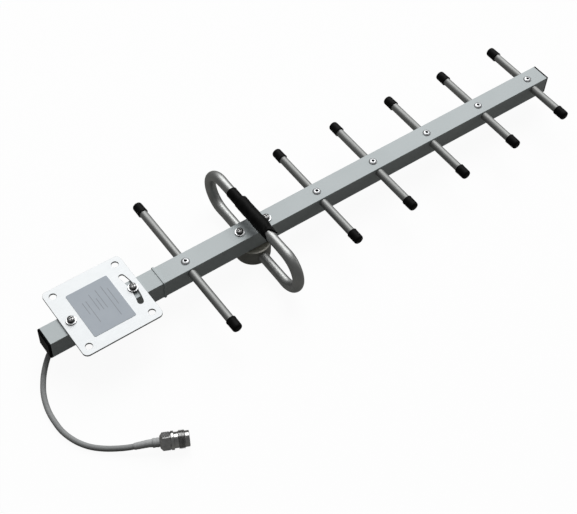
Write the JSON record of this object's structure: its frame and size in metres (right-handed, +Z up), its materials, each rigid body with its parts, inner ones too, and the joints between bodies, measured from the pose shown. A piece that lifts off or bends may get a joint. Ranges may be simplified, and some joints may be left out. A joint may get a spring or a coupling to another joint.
{
  "type": "yagi antenna",
  "caption": "Directional antenna: square boom with rod elements, a folded dipole in a round housing, a tilting mast plate with bolt holes, and a short coaxial tail with a threaded jack.",
  "frame": {"origin": "middle of the boom's length, on the plane of the housing's foot", "axes": "+X along the boom from the mast plate to the front director, +Y to the far side, +Z up out of the mast plate"},
  "size_m": [0.6053, 0.2272, 0.0573],
  "materials": {
    "boom_grey": "satin grey coating",
    "element_metal": "drawn tube",
    "loop_metal": "drawn and bent tube",
    "cap_black": "soft moulded",
    "plug_black": "moulded",
    "sleeve_black": "shrink tube",
    "housing_grey": "die cast",
    "plate_metal": "bright sheet",
    "label_grey": "foil label, blank",
    "fastener_steel": "stainless",
    "lock_steel": "spring steel",
    "rivet_metal": "blind rivet",
    "cable_grey": "extruded jacket",
    "boot_black": "moulded",
    "insulator_white": "turned",
    "jack_nickel": "nickel plated",
    "contact_gold": "gold plated"
  },
  "bodies": {
    "boom": {"boom_tube": "boom_grey", "boom_band": "boom_grey", "rear_end_plug": "plug_black", "front_end_plug": "plug_black", "reflector_rod": "element_metal", "director_1_rod": "element_metal", "director_2_rod": "element_metal", "director_3_rod": "element_metal", "director_4_rod": "element_metal", "director_5_rod": "element_metal", "reflector_far_cap": "cap_black", "reflector_near_cap": "cap_black", "director_1_far_cap": "cap_black", "director_2_far_cap": "cap_black", "director_3_far_cap": "cap_black", "director_4_far_cap": "cap_black", "director_5_far_cap": "cap_black", "director_1_near_cap": "cap_black", "director_2_near_cap": "cap_black", "director_3_near_cap": "cap_black", "director_4_near_cap": "cap_black", "director_5_near_cap": "cap_black", "element_rivets": "rivet_metal", "dipole_loop": "loop_metal", "feed_insulator": "insulator_white", "thin_sleeve": "sleeve_black", "thick_sleeve": "sleeve_black", "dipole_housing": "housing_grey", "housing_screws": "fastener_steel", "housing_lock_washers": "lock_steel", "housing_washers": "fastener_steel", "pivot_bolt": "fastener_steel", "pivot_lock_washer": "lock_steel", "pivot_washers": "fastener_steel", "pivot_nut": "fastener_steel", "clamp_bolt": "fastener_steel", "clamp_lock_washer": "lock_steel", "clamp_washers": "fastener_steel", "clamp_nut": "fastener_steel", "feed_coax": "cable_grey", "cable_boot": "boot_black", "cable": "cable_grey", "crimp_sleeve": "cable_grey", "jack_nut": "jack_nickel", "jack_body": "jack_nickel", "jack_insulator": "insulator_white", "jack_contact": "contact_gold"},
    "plate": {"mast_plate": "plate_metal", "blank_label": "label_grey"}
  },
  "joints": [
    {"name": "plate_tilt", "type": "hinge", "parent": "boom", "child": "plate", "pos_m": [-0.261, 0, 0.0381], "axis": [0, 0, 1], "range_deg": [-15, 15]}
  ]
}
